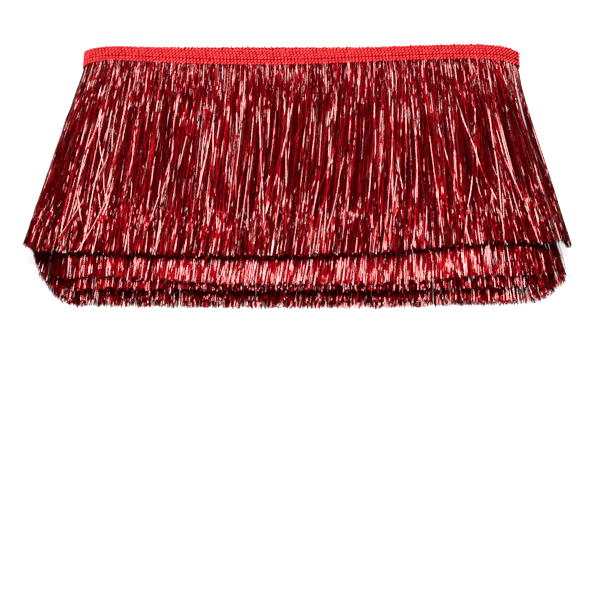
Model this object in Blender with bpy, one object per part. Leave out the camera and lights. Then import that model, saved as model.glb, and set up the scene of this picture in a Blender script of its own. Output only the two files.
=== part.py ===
"""Tinsel fringe trim, wound flat in three turns and lying on its side.

A knitted heading tape runs along the back. Metallic strands hang from its front edge, so the
bundle lies like a flattened skirt: narrow at the heading and spread at the cut ends.
X runs along the heading, +Y points from the cut ends to the heading, and +Z is up.
The origin is under the middle of the bundle, on the surface that it lies on.
Sizes in the tables are millimetres. Everything else is metres.
"""

import math
import random
from collections import namedtuple

import bmesh
import bpy
import numpy as np
from mathutils import Vector

MM = 0.001

# The trim as it is made.
TAPE_WIDTH = 10.5 * MM
TAPE_THICKNESS = 1.3 * MM
GROOVE_FROM_FRONT = 3.5 * MM
GROOVE_HALF_WIDTH = 0.45 * MM
GROOVE_DEPTH = 0.3 * MM
TAPE_END_LENGTH = 3.5 * MM
TAPE_END_EXTRA = 0.8 * MM
STRIP_WIDTH = 1.2 * MM
STRIP_TO_TAPE = 0.3 * MM
STRIP_BREAK = 0.6 * MM
LOCK_PITCH = 6.4 * MM
REACH_SPREAD = 1.6 * MM
LIFT_SPREAD = 0.35 * MM
SEED = 7

# How the trim is wound: one row for each straight pass, from the free end inwards.
# root and tip are the heights of the tape and of the cut ends, swell is how far the
# strands rise between them, reach is how far they run forward, pull and left are how
# much less that is at the right-hand and left-hand ends, and shift is how far the tape
# sits behind its line.
Pass = namedtuple("Pass", "root tip swell reach pull left shift")
PASSES = (
    Pass(root=18.35, tip=21.0, swell=3.0, reach=127.0, pull=5.0, left=0.0, shift=1.1),
    Pass(root=0.65, tip=0.65, swell=0.0, reach=152.5, pull=2.2, left=1.0, shift=1.6),
    Pass(root=15.15, tip=15.5, swell=2.4, reach=145.5, pull=5.5, left=4.0, shift=3.2),
    Pass(root=3.85, tip=3.1, swell=0.0, reach=148.5, pull=0.0, left=1.0, shift=0.4),
    Pass(root=11.95, tip=11.4, swell=1.2, reach=146.0, pull=2.0, left=0.0, shift=1.8),
    Pass(root=7.05, tip=5.6, swell=0.0, reach=139.0, pull=0.0, left=0.0, shift=2.4),
)
PULL_START_X = 39.0
PULL_FULL_X = 107.0

# One row for each bend, from the free end inwards: right, left, right and so on.
# end and radius shape the tape, tip_end and tip_radius the cut ends, and dip is how
# much less the strands reach at the very corner. lift is how many degrees the strands
# climb back round the bend on their way to the cut ends, and fan is how much further
# those spread on the first half of the bend.
Bend = namedtuple("Bend", "end radius tip_end tip_radius dip lift fan")
BENDS = (
    Bend(end=127.5, radius=25.0, tip_end=151.0, tip_radius=31.0, dip=16.0, lift=0.0, fan=0.0),
    Bend(end=131.5, radius=24.0, tip_end=154.5, tip_radius=31.0, dip=19.0, lift=8.0, fan=10.0),
    Bend(end=121.0, radius=14.0, tip_end=149.2, tip_radius=34.0, dip=10.0, lift=0.0, fan=0.0),
    Bend(end=125.8, radius=9.0, tip_end=145.5, tip_radius=20.0, dip=8.0, lift=0.0, fan=0.0),
    Bend(end=117.6, radius=5.0, tip_end=142.0, tip_radius=18.0, dip=6.0, lift=0.0, fan=0.0),
    Bend(end=122.4, radius=3.0, tip_end=138.0, tip_radius=5.0, dip=4.0, lift=0.0, fan=0.0),
)
INNER_END_X = 84.0
DIP_POWER = 3
FLARE_POWER = 3
FAN_POWER = 1.15
FAN_POWER_PER_METRE = 0.8

# The uppermost pass of the tape isn't straight: it wanders forward and back.
WANDER = 2.1
WANDER_MIDDLE = 38.0
WANDER_HALF_WAVE = 130.0

# One row for each cross-section of a lock of strands: how far along it is, its
# thickness, and its width as a share of the room between two locks.
LockSection = namedtuple("LockSection", "along thickness share")
LOCK_SECTIONS = (
    LockSection(along=0.0, thickness=1.3, share=0.74),
    LockSection(along=0.13, thickness=1.4, share=0.82),
    LockSection(along=0.42, thickness=1.5, share=0.85),
    LockSection(along=0.72, thickness=1.4, share=0.85),
    LockSection(along=1.0, thickness=1.0, share=0.72),
)

RUN_CUTS = 10
BEND_CUTS = 8
LEAST_CUT = 0.5 * MM
FINE_STEPS = 61
SLOPE_STEP = 0.2 * MM
ALONG_STEP = 0.01

Finish = namedtuple("Finish", "colour roughness metallic")
TAPE_FINISH = Finish(colour=(0.72, 0.012, 0.022, 1.0), roughness=0.75, metallic=0.0)
TINSEL_FINISH = Finish(colour=(0.42, 0.004, 0.012, 1.0), roughness=0.25, metallic=0.9)

TURN_NAMES = ("outer", "middle", "inner")
COLUMNS = ("x", "root", "tip_x", "tip", "swell", "reach", "shift")


def between(a, b, share):
    """The value that lies this share of the way from a to b."""
    return a + (b - a) * share


def pass_row(number):
    """The pass's row, or the second one for the pass that the free end would come from."""
    return PASSES[number] if number >= 0 else PASSES[1]


def wander(x):
    """How far the uppermost pass of the tape sits behind its row's shift."""
    return WANDER * math.sin(math.pi * (x - WANDER_MIDDLE) / WANDER_HALF_WAVE)


def eased(share):
    """The share with a gentle start and stop, held between 0 and 1."""
    held = min(max(share, 0.0), 1.0)
    return held * held * (3.0 - 2.0 * held)


def reach_at(row, x):
    """How far one pass's strands run forward at this place along the heading."""
    right, left = (
        eased((side * x - PULL_START_X) / (PULL_FULL_X - PULL_START_X)) for side in (1, -1)
    )
    return row.reach - row.pull * right - row.left * left


def bend_samples(number):
    """Samples of one bend, from the pass before it to the pass after it."""
    bend = BENDS[number]
    before, after = pass_row(number - 1), PASSES[number]
    side = 1.0 if number % 2 == 0 else -1.0
    start = math.pi / 2 if number == 0 else 0.0
    samples = []
    for angle in np.linspace(start, math.pi, FINE_STEPS):
        share = (1.0 - math.cos(angle)) / 2
        x = side * (bend.end - bend.radius + bend.radius * math.sin(angle))
        tip_angle = angle - math.radians(bend.lift) * math.sin(angle)
        tip_share = (1.0 - math.cos(tip_angle)) / 2
        fanned = bend.fan * max(math.sin(2 * tip_angle), 0.0)
        bow = bend.tip_radius * (1.0 - math.sin(tip_angle))
        reach = between(reach_at(before, x), reach_at(after, x), tip_share)
        shift_before = before.shift + (wander(x) if number == 1 else 0.0)
        shift_after = after.shift + (wander(x) if number == 0 else 0.0)
        samples.append(
            (
                x,
                between(before.root, after.root, share),
                side * (bend.tip_end - bow + fanned),
                between(before.tip, after.tip, tip_share),
                between(before.swell, after.swell, share),
                reach - bend.dip * math.sin(tip_angle) ** DIP_POWER,
                between(shift_before, shift_after, share),
            )
        )
    return samples


def run_samples(number):
    """Samples of one straight pass, from the bend before it to the bend after it."""
    row = PASSES[number]
    side = 1.0 if number % 2 == 0 else -1.0
    first = BENDS[number]
    last = BENDS[number + 1] if number + 1 < len(BENDS) else None
    start = side * (first.end - first.radius)
    stop = INNER_END_X if last is None else -side * (last.end - last.radius)
    samples = []
    for x in np.linspace(start, stop, FINE_STEPS):
        bend = first if last is None or x * side > 0 else last
        half_run = bend.end - bend.radius
        flare = bend.tip_end - bend.tip_radius - half_run
        tip_x = x + math.copysign(flare * (abs(x) / half_run) ** FLARE_POWER, x)
        shift = row.shift + (wander(x) if number == 0 else 0.0)
        samples.append((x, row.root, tip_x, row.tip, row.swell, reach_at(row, x), shift))
    return samples


def winding():
    """The whole winding as named columns against the distance along the tape.

    Also gives where each run and bend starts, as distances along the tape.
    """
    samples = []
    starts = []
    for number in range(len(PASSES)):
        starts.append(len(samples))
        samples += bend_samples(number)
        starts.append(len(samples))
        samples += run_samples(number)
    table = np.array(samples) * MM
    steps = np.hypot(np.diff(table[:, 0]), np.diff(table[:, 1]))
    distance = np.concatenate([[0.0], np.cumsum(steps)])
    columns = {name: table[:, k] for k, name in enumerate(COLUMNS)}
    columns["distance"] = distance
    return columns, [float(distance[k]) for k in starts]


def value(columns, name, distance):
    """One column's value at a distance along the tape."""
    return float(np.interp(distance, columns["distance"], columns[name]))


def strand_point(columns, distance, along):
    """A point of the curtain of strands: along is 0 at the heading and 1 at the cut ends."""
    x, root, tip_x, tip, swell, reach, shift = (
        value(columns, name, distance) for name in COLUMNS
    )
    height = between(root, tip, eased(along)) + swell * math.sin(math.pi * along)
    fanned = between(x, tip_x, along ** (FAN_POWER + FAN_POWER_PER_METRE * x))
    return Vector((fanned, shift - reach * along, height))


def outward(columns, distance, along):
    """The direction out of the winding, square to the curtain of strands."""
    last = columns["distance"][-1]
    before = strand_point(columns, max(distance - SLOPE_STEP, 0.0), along)
    after = strand_point(columns, min(distance + SLOPE_STEP, last), along)
    if along == 0.0:
        across = after - before
        return Vector((across.z, 0.0, -across.x)).normalized()
    nearer = strand_point(columns, distance, along - ALONG_STEP)
    further = strand_point(columns, distance, min(along + ALONG_STEP, 1.0))
    return (after - before).cross(further - nearer).normalized()


def extrude_to(bm, face, corner_layer, points):
    """Extrudes a face and sets its new corners to these points, by corner number."""
    made = bmesh.ops.extrude_discrete_faces(bm, faces=[face])
    new_face = made["faces"][0]
    for vertex in new_face.verts:
        vertex.co = points[vertex[corner_layer]]
    return new_face


def first_face(bm, corner_layer, points):
    """The face that a sweep starts from, with its corners numbered."""
    vertices = [bm.verts.new(point) for point in points]
    for number, vertex in enumerate(vertices):
        vertex[corner_layer] = number
    return bm.faces.new(vertices)


def finished_object(name, bm, material, collection):
    """An object from a finished mesh."""
    bmesh.ops.recalc_face_normals(bm, faces=bm.faces)
    mesh = bpy.data.meshes.new(name)
    bm.to_mesh(mesh)
    bm.free()
    mesh.materials.append(material)
    made = bpy.data.objects.new(name, mesh)
    collection.objects.link(made)
    return made


def stations(columns):
    """Distances at which the tape gets a cross-section: close together in the bends."""
    found = [TAPE_END_LENGTH, TAPE_END_LENGTH + LEAST_CUT]
    for leg in range(2 * len(PASSES)):
        cuts = RUN_CUTS if leg % 2 else BEND_CUTS
        for cut in range(1, cuts + 1):
            sample = leg * FINE_STEPS + round(cut * (FINE_STEPS - 1) / cuts)
            found.append(float(columns["distance"][sample]))
    kept = [0.0]
    for distance in sorted(found):
        if distance - kept[-1] >= LEAST_CUT:
            kept.append(distance)
    return kept


def tape_section(columns, distance):
    """The tape's cross-section: a flat band with one groove along its outer face."""
    centre = strand_point(columns, distance, 0.0)
    normal = outward(columns, distance, 0.0)
    half = TAPE_THICKNESS / 2
    extra = TAPE_END_EXTRA if distance <= TAPE_END_LENGTH else 0.0
    front = STRIP_WIDTH + STRIP_TO_TAPE
    back = front + TAPE_WIDTH
    groove = front + GROOVE_FROM_FRONT
    outline = (
        (front, -half),
        (back, -half),
        (back, half + extra),
        (groove + GROOVE_HALF_WIDTH, half + extra),
        (groove, half + extra - GROOVE_DEPTH),
        (groove - GROOVE_HALF_WIDTH, half + extra),
        (front, half + extra),
    )
    return [centre + Vector((0, y, 0)) + normal * height for y, height in outline]


def heading_tape(columns, material, collection):
    """The knitted tape, swept along the whole winding as one solid."""
    bm = bmesh.new()
    corner_layer = bm.verts.layers.int.new("corner")
    sections = [tape_section(columns, distance) for distance in stations(columns)]
    face = first_face(bm, corner_layer, sections[0])
    base = face.copy()
    for section in sections[1:]:
        face = extrude_to(bm, face, corner_layer, section)
    base.normal_flip()
    bmesh.ops.remove_doubles(bm, verts=bm.verts, dist=MM / 100)
    return finished_object("heading_tape", bm, material, collection)


def strip_section(columns, distance):
    """The cross-section of the strip that the strands are rooted in."""
    centre = strand_point(columns, distance, 0.0)
    normal = outward(columns, distance, 0.0) * (TAPE_THICKNESS / 2)
    back = Vector((0, STRIP_WIDTH, 0))
    return [centre - normal, centre + normal, centre + back + normal, centre + back - normal]


def lock_edges(first, last):
    """Pairs of distances between which each lock of one turn is rooted."""
    count = round((last - first) / LOCK_PITCH)
    pitch = (last - first) / count
    half = pitch * LOCK_SECTIONS[0].share / 2
    middles = [first + pitch * (k + 0.5) for k in range(count)]
    return [(middle - half, middle + half) for middle in middles]


def lock_points(columns, edges, section, reach_change, lift):
    """The four corners of one cross-section of a lock."""
    middle = (edges[0] + edges[1]) / 2
    half = (edges[1] - edges[0]) / 2 * section.share / LOCK_SECTIONS[0].share
    outer = TAPE_THICKNESS / 2
    inner = outer - section.thickness * MM
    points = []
    for distance, height in (
        (middle - half, inner),
        (middle - half, outer),
        (middle + half, outer),
        (middle + half, inner),
    ):
        point = strand_point(columns, distance, section.along)
        point += outward(columns, distance, section.along) * (height + lift * section.along)
        point.y -= reach_change * section.along
        points.append(point)
    return points


def fringe_turn(name, columns, first, last, material, collection, chance):
    """One turn's strip with its locks of strands, as one solid."""
    bm = bmesh.new()
    corner_layer = bm.verts.layers.int.new("corner")
    locks = lock_edges(first, last)
    steps = sorted({first, last, *(edge for pair in locks for edge in pair)})
    face = first_face(bm, corner_layer, strip_section(columns, steps[0]))
    base = face.copy()
    roots = []
    for before, after in zip(steps[:-1], steps[1:]):
        old_corners = {vertex[corner_layer]: vertex for vertex in face.verts}
        face = extrude_to(bm, face, corner_layer, strip_section(columns, after))
        new_corners = {vertex[corner_layer]: vertex for vertex in face.verts}
        if (before, after) in locks:
            ring = (old_corners[0], old_corners[1], new_corners[1], new_corners[0])
            roots.append(ring)
    base.normal_flip()
    bmesh.ops.remove_doubles(bm, verts=bm.verts, dist=MM / 100)
    for edges, ring in zip(locks, roots):
        grow_lock(bm, columns, edges, ring, chance)
    return finished_object(name, bm, material, collection)


def grow_lock(bm, columns, edges, ring, chance):
    """Extrudes one lock from its root face on the strip, section by section."""
    corner_layer = bm.verts.layers.int["corner"]
    face = next(f for f in ring[2].link_faces if all(vertex in f.verts for vertex in ring))
    reach_change = chance.uniform(-REACH_SPREAD, REACH_SPREAD)
    on_floor = ring[0].co.z < 2 * TAPE_THICKNESS
    lift = 0.0 if on_floor else chance.uniform(-LIFT_SPREAD, LIFT_SPREAD)
    made = bmesh.ops.extrude_discrete_faces(bm, faces=[face])["faces"][0]
    root = lock_points(columns, edges, LOCK_SECTIONS[0], 0.0, 0.0)
    for vertex in made.verts:
        gaps = [(vertex.co - point).length for point in root]
        vertex[corner_layer] = gaps.index(min(gaps))
    for vertex in made.verts:
        vertex.co = lock_points(columns, edges, LOCK_SECTIONS[1], reach_change, lift)[
            vertex[corner_layer]
        ]
    for section in LOCK_SECTIONS[2:]:
        points = lock_points(columns, edges, section, reach_change, lift)
        made = extrude_to(bm, made, corner_layer, points)


def material_of(name, finish):
    """A plain material with the part's colour and gloss."""
    made = bpy.data.materials.new(name)
    made.use_nodes = True
    shader = made.node_tree.nodes["Principled BSDF"]
    shader.inputs["Base Color"].default_value = finish.colour
    shader.inputs["Roughness"].default_value = finish.roughness
    shader.inputs["Metallic"].default_value = finish.metallic
    made.diffuse_color = finish.colour
    return made


def centre_on_floor(objects):
    """Moves every object so that the origin is under the middle of the bundle."""
    corners = [vertex.co for made in objects for vertex in made.data.vertices]
    low = Vector([min(point[k] for point in corners) for k in range(3)])
    high = Vector([max(point[k] for point in corners) for k in range(3)])
    middle = (low + high) / 2
    for made in objects:
        made.location = (-middle.x, -middle.y, -low.z)


def clear_scene():
    """Removes whatever the file holds."""
    for old in list(bpy.data.objects):
        bpy.data.objects.remove(old)


def main():
    clear_scene()
    collection = bpy.data.collections.new("tinsel_fringe_trim")
    bpy.context.scene.collection.children.link(collection)
    tape_material = material_of("heading_yarn", TAPE_FINISH)
    tinsel_material = material_of("red_tinsel", TINSEL_FINISH)
    chance = random.Random(SEED)
    columns, starts = winding()
    length = float(columns["distance"][-1])
    objects = [heading_tape(columns, tape_material, collection)]
    # A turn ends in the middle of a right-hand bend, where the tape passes under itself.
    right_bends = [(starts[4 * k] + starts[4 * k + 1]) / 2 for k in (1, 2)]
    edges = [0.0, *right_bends, length]
    for turn, (first, last) in enumerate(zip(edges[:-1], edges[1:])):
        name = f"fringe_{TURN_NAMES[turn]}_turn"
        start = first + (STRIP_BREAK if turn else 0.0)
        objects.append(
            fringe_turn(name, columns, start, last, tinsel_material, collection, chance)
        )
    centre_on_floor(objects)


main()
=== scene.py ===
"""Looks of a tinsel fringe trim, wound flat in three turns and lying on its side.

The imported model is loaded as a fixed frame. Each turn of the fringe is dressed with loose
strands of thin metallised film, and the heading tape with rows of slanting yarn stitches.
X runs along the heading, +Y points from the cut ends to the heading, and +Z is up.
Sizes in the tables are millimetres. Everything else is metres.
"""

import math
from collections import namedtuple

import bmesh
import bpy
import numpy as np
from bpy.props import FloatProperty, FloatVectorProperty, IntProperty, PointerProperty
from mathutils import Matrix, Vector


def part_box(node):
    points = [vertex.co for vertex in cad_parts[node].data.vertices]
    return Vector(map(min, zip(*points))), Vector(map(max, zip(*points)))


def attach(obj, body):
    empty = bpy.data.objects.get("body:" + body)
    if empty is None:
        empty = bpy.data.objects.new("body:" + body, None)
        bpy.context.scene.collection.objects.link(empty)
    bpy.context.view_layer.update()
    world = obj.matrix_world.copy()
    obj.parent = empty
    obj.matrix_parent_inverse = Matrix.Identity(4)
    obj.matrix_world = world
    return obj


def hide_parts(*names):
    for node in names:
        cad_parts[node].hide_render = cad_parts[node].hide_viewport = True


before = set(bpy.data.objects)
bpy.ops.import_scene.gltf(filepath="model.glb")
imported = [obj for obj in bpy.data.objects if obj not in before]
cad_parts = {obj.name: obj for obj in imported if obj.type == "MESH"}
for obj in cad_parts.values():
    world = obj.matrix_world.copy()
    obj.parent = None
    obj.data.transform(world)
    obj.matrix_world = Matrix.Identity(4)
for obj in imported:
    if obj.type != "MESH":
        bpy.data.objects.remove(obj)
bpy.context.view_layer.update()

bl_info = {
    "name": "Tinsel fringe trim",
    "version": (1, 0, 0),
    "blender": (4, 5, 0),
    "location": "3D View > Sidebar > Trim",
    "description": "Dresses a wound tinsel fringe with film strands and a knitted heading tape",
    "category": "Object",
}

MM = 0.001

# How the trim is wound, as in the part's source: one row for each straight pass, from the
# free end inwards. root and tip are the heights of the tape and of the cut ends, swell is
# how far the strands rise between them, reach is how far they run forward, pull and left
# are how much less that is at the right-hand and left-hand ends, and shift is how far
# back the tape sits.
Pass = namedtuple("Pass", "root tip swell reach pull left shift")
PASSES = (
    Pass(root=18.35, tip=21.0, swell=3.0, reach=127.0, pull=5.0, left=0.0, shift=1.1),
    Pass(root=0.65, tip=0.65, swell=0.0, reach=152.5, pull=2.2, left=1.0, shift=1.6),
    Pass(root=15.15, tip=15.5, swell=2.4, reach=145.5, pull=5.5, left=4.0, shift=3.2),
    Pass(root=3.85, tip=3.1, swell=0.0, reach=148.5, pull=0.0, left=1.0, shift=0.4),
    Pass(root=11.95, tip=11.4, swell=1.2, reach=146.0, pull=2.0, left=0.0, shift=1.8),
    Pass(root=7.05, tip=5.6, swell=0.0, reach=139.0, pull=0.0, left=0.0, shift=2.4),
)
PULL_START_X = 39.0
PULL_FULL_X = 107.0

# One row for each bend: right, left, right and so on. end and radius shape the tape,
# tip_end and tip_radius the cut ends, and dip is the shorter reach at the very corner.
# lift is how many degrees the strands climb back round the bend on their way to the cut
# ends, and fan is how much further those spread on the first half of the bend.
Bend = namedtuple("Bend", "end radius tip_end tip_radius dip lift fan")
BENDS = (
    Bend(end=127.5, radius=25.0, tip_end=151.0, tip_radius=31.0, dip=16.0, lift=0.0, fan=0.0),
    Bend(end=131.5, radius=24.0, tip_end=154.5, tip_radius=31.0, dip=19.0, lift=8.0, fan=10.0),
    Bend(end=121.0, radius=14.0, tip_end=149.2, tip_radius=34.0, dip=10.0, lift=0.0, fan=0.0),
    Bend(end=125.8, radius=9.0, tip_end=145.5, tip_radius=20.0, dip=8.0, lift=0.0, fan=0.0),
    Bend(end=117.6, radius=5.0, tip_end=142.0, tip_radius=18.0, dip=6.0, lift=0.0, fan=0.0),
    Bend(end=122.4, radius=3.0, tip_end=138.0, tip_radius=5.0, dip=4.0, lift=0.0, fan=0.0),
)
INNER_END_X = 84.0
DIP_POWER = 3
FLARE_POWER = 3
FAN_POWER = 1.15
FAN_POWER_PER_METRE = 0.8
WANDER = 2.1
WANDER_MIDDLE = 38.0
WANDER_HALF_WAVE = 130.0
FINE_STEPS = 61
SLOPE_STEP = 0.2 * MM
ALONG_STEP = 0.01

# The tape's place behind the line that the strands hang from.
TAPE_FRONT = 1.5 * MM
TAPE_WIDTH = 10.5 * MM
TAPE_THICKNESS = 1.3 * MM
TAPE_END_LENGTH = 3.5 * MM
TAPE_END_EXTRA = 0.8 * MM

# How the strands of each pass lie at their cut ends: how far they spread inwards and
# outwards from the pass's middle, how much they twist, in degrees, how far they droop,
# and how far they drift along the tape on the way.
Heap = namedtuple("Heap", "inward outward twist droop drift")
HEAPS = (
    Heap(inward=2.6, outward=1.4, twist=34.0, droop=0.9, drift=10.0),
    Heap(inward=2.0, outward=0.1, twist=18.0, droop=1.4, drift=-7.0),
    Heap(inward=2.2, outward=0.9, twist=5.0, droop=1.7, drift=14.0),
    Heap(inward=2.0, outward=0.2, twist=16.0, droop=1.4, drift=-7.0),
    Heap(inward=2.0, outward=0.8, twist=12.0, droop=1.4, drift=9.0),
    Heap(inward=1.8, outward=0.2, twist=26.0, droop=0.0, drift=0.0),
)

# One row for each piece of fringe. first and last are places along the winding, counted
# in bends and runs from the free end. Each strand has this many segments, and crowding
# above 1 makes those near its cut end shorter. spread is how far the roots of a bunch
# stray from its middle, as a share of the distance between bunches.
Curtain = namedtuple("Curtain", "name node first last count segments crowding spread")
OUTER_CURTAINS = (
    Curtain("free_end_strands", "fringe_outer_turn", 0.0, 1.0, 600, 12, 1.15, 0.16),
    Curtain("top_strands_right", "fringe_outer_turn", 1.0, 1.5, 1600, 12, 1.15, 0.16),
    Curtain("top_strands_left", "fringe_outer_turn", 1.5, 2.0, 1600, 12, 1.15, 0.16),
    Curtain("left_bend_strands", "fringe_outer_turn", 2.0, 3.0, 1100, 12, 1.3, 0.16),
    Curtain("floor_strands", "fringe_outer_turn", 3.0, 4.5, 2500, 8, 1.9, 0.32),
)
INNER_CURTAINS = (
    Curtain("middle_turn_strands", "fringe_middle_turn", 4.5, 8.5, 3500, 8, 1.9, 0.32),
    Curtain("inner_turn_strands", "fringe_inner_turn", 8.5, 12.0, 2600, 8, 1.9, 0.32),
)
LOOSE_CURTAIN = Curtain("loose_strands", "fringe_outer_turn", 0.3, 2.6, 190, 20, 1.0, 0.16)

# Where the tape is stitched: places along the winding, and the first of its six rows.
Stitched = namedtuple("Stitched", "name first last first_row rings")
STITCHED = (
    Stitched("top_stitches", 0.0, 3.0, 0, 5),
    Stitched("right_bend_stitches", 4.0, 5.0, 0, 4),
    Stitched("back_stitches_outer", 3.0, 4.0, 4, 4),
    Stitched("back_stitches_inner", 5.0, 12.0, 4, 4),
)
ROWS = 6
ROWS_IN_FRONT = 2


# The winding

def between(a, b, share):
    """The value that lies this share of the way from a to b."""
    return a + (b - a) * share


def eased(share):
    """The share with a gentle start and stop, held between 0 and 1."""
    held = np.clip(share, 0.0, 1.0)
    return held * held * (3.0 - 2.0 * held)


def wander(x):
    """How far the uppermost pass of the tape sits behind its row's shift."""
    return WANDER * np.sin(math.pi * (x - WANDER_MIDDLE) / WANDER_HALF_WAVE)


def reach_at(row, x):
    """How far one pass's strands run forward at these places along the heading."""
    right, left = (
        eased((side * x - PULL_START_X) / (PULL_FULL_X - PULL_START_X)) for side in (1, -1)
    )
    return row.reach - row.pull * right - row.left * left


def bend_samples(number):
    """Samples of one bend, from the pass before it to the pass after it."""
    bend = BENDS[number]
    before = PASSES[number - 1] if number else PASSES[1]
    after = PASSES[number]
    side = 1.0 if number % 2 == 0 else -1.0
    angle = np.linspace(math.pi / 2 if number == 0 else 0.0, math.pi, FINE_STEPS)
    share = (1.0 - np.cos(angle)) / 2
    x = side * (bend.end - bend.radius + bend.radius * np.sin(angle))
    tip_angle = angle - math.radians(bend.lift) * np.sin(angle)
    tip_share = (1.0 - np.cos(tip_angle)) / 2
    fanned = bend.fan * np.maximum(np.sin(2 * tip_angle), 0.0)
    bow = bend.tip_radius * (1.0 - np.sin(tip_angle))
    reach = between(reach_at(before, x), reach_at(after, x), tip_share)
    shift_before = before.shift + (wander(x) if number == 1 else 0.0)
    shift_after = after.shift + (wander(x) if number == 0 else 0.0)
    return np.stack(
        [
            x,
            between(before.root, after.root, share),
            side * (bend.tip_end - bow + fanned),
            between(before.tip, after.tip, tip_share),
            between(before.swell, after.swell, share),
            reach - bend.dip * np.sin(tip_angle) ** DIP_POWER,
            between(shift_before, shift_after, share),
        ],
        axis=1,
    )


def run_samples(number):
    """Samples of one straight pass, from the bend before it to the bend after it."""
    row = PASSES[number]
    side = 1.0 if number % 2 == 0 else -1.0
    first = BENDS[number]
    last = BENDS[number + 1] if number + 1 < len(BENDS) else first
    start = side * (first.end - first.radius)
    stop = INNER_END_X if last is first else -side * (last.end - last.radius)
    x = np.linspace(start, stop, FINE_STEPS)
    near_first = x * side > 0
    half_run = np.where(near_first, first.end - first.radius, last.end - last.radius)
    tip_half = np.where(near_first, first.tip_end - first.tip_radius, last.tip_end - last.tip_radius)
    tip_x = x + np.sign(x) * (tip_half - half_run) * (np.abs(x) / half_run) ** FLARE_POWER
    shift = row.shift + (wander(x) if number == 0 else 0.0)
    same = np.ones(FINE_STEPS)
    return np.stack(
        [x, same * row.root, tip_x, same * row.tip, same * row.swell, reach_at(row, x), same * shift],
        axis=1,
    )


class Winding:
    """The whole winding as columns against the distance along the tape."""

    def __init__(self):
        legs = []
        for number in range(len(PASSES)):
            legs += [bend_samples(number), run_samples(number)]
        table = np.concatenate(legs) * MM
        steps = np.hypot(np.diff(table[:, 0]), np.diff(table[:, 1]))
        self.distance = np.concatenate([[0.0], np.cumsum(steps)])
        self.columns = table.T
        self.length = float(self.distance[-1])
        starts = self.distance[:: FINE_STEPS][: len(legs)]
        self.leg_starts = np.append(starts, self.length)
        # The frame gives the place: the tape's outer face at the left, and its back edge.
        low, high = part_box("heading_tape")
        left = BENDS[1].end * MM + TAPE_THICKNESS / 2
        back = self.columns[6].max() + TAPE_FRONT + TAPE_WIDTH
        self.place = np.array([low.x + left, high.y - back, low.z])

    def at(self, leg):
        """The distance along the tape of a place counted in bends and runs."""
        return np.interp(leg, np.arange(len(self.leg_starts)), self.leg_starts)

    def points(self, distance, along):
        """Points of the curtain: along is 0 at the heading and 1 at the cut ends."""
        x, root, tip_x, tip, swell, reach, shift = (
            np.interp(distance, self.distance, column) for column in self.columns
        )
        share = np.clip(along, 0.0, 1.0)
        height = between(root, tip, eased(along)) + swell * np.sin(math.pi * share)
        power = FAN_POWER + FAN_POWER_PER_METRE * x
        fanned = between(x, tip_x, np.clip(along, 0.0, None) ** power)
        return np.stack([fanned, shift - reach * along, height], axis=-1) + self.place

    def outward(self, distance, along):
        """The directions out of the winding, square to the curtain of strands."""
        inside = np.clip(distance, SLOPE_STEP, self.length - SLOPE_STEP)
        across = self.points(inside + SLOPE_STEP, along) - self.points(inside - SLOPE_STEP, along)
        nearer = self.points(inside, along - ALONG_STEP)
        further = self.points(inside, along + ALONG_STEP)
        return unit(np.cross(across, further - nearer))

    def run_share(self, distance):
        """How far along its own run each place is: 0 or 1 in the bends."""
        leg = np.interp(distance, self.leg_starts, np.arange(len(self.leg_starts)))
        return np.clip(leg % 2.0 - 1.0, 0.0, 1.0)

    def per_pass(self, values, distance):
        """Values given for each pass, blended over the bends between them."""
        middles = self.at(np.arange(len(PASSES)) * 2 + 1.5)
        return np.interp(distance, middles, values)

    def tape_points(self, distance, back, height):
        """Points of the tape: back from the strands' line, and out from its middle."""
        none = np.zeros_like(distance)
        out = self.outward(distance, none)
        out[..., 1] = 0.0
        points = self.points(distance, none) + unit(out) * np.expand_dims(height, -1)
        points[..., 1] += back
        return points


def unit(vectors):
    """The vectors at length 1."""
    return vectors / np.linalg.norm(vectors, axis=-1, keepdims=True)


# Meshes from arrays

CELL_REACH = 0.4


def grid_cells(count, shape):
    """The lower corners and the size of equal cells, one for each of the like parts."""
    columns = math.ceil(math.sqrt(count * shape))
    rows = math.ceil(count / columns)
    number = np.arange(count)
    corners = np.stack([number % columns / columns, number // columns / rows], axis=-1)
    return corners, np.array([1.0 / columns, 1.0 / rows])


def face_cells(faces):
    """The corners of every face on the map, as a regular shape in the face's own cell."""
    lower, size = grid_cells(sum(len(group) for group in faces), shape=1.0)
    cells = []
    for group in faces:
        turn = 2 * math.pi * np.arange(group.shape[1]) / group.shape[1]
        form = 0.5 + CELL_REACH * np.stack([np.cos(turn), np.sin(turn)], axis=-1)
        cells.append((lower[: len(group), None] + form * size).reshape(-1, 2))
        lower = lower[len(group) :]
    return np.concatenate(cells)


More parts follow.
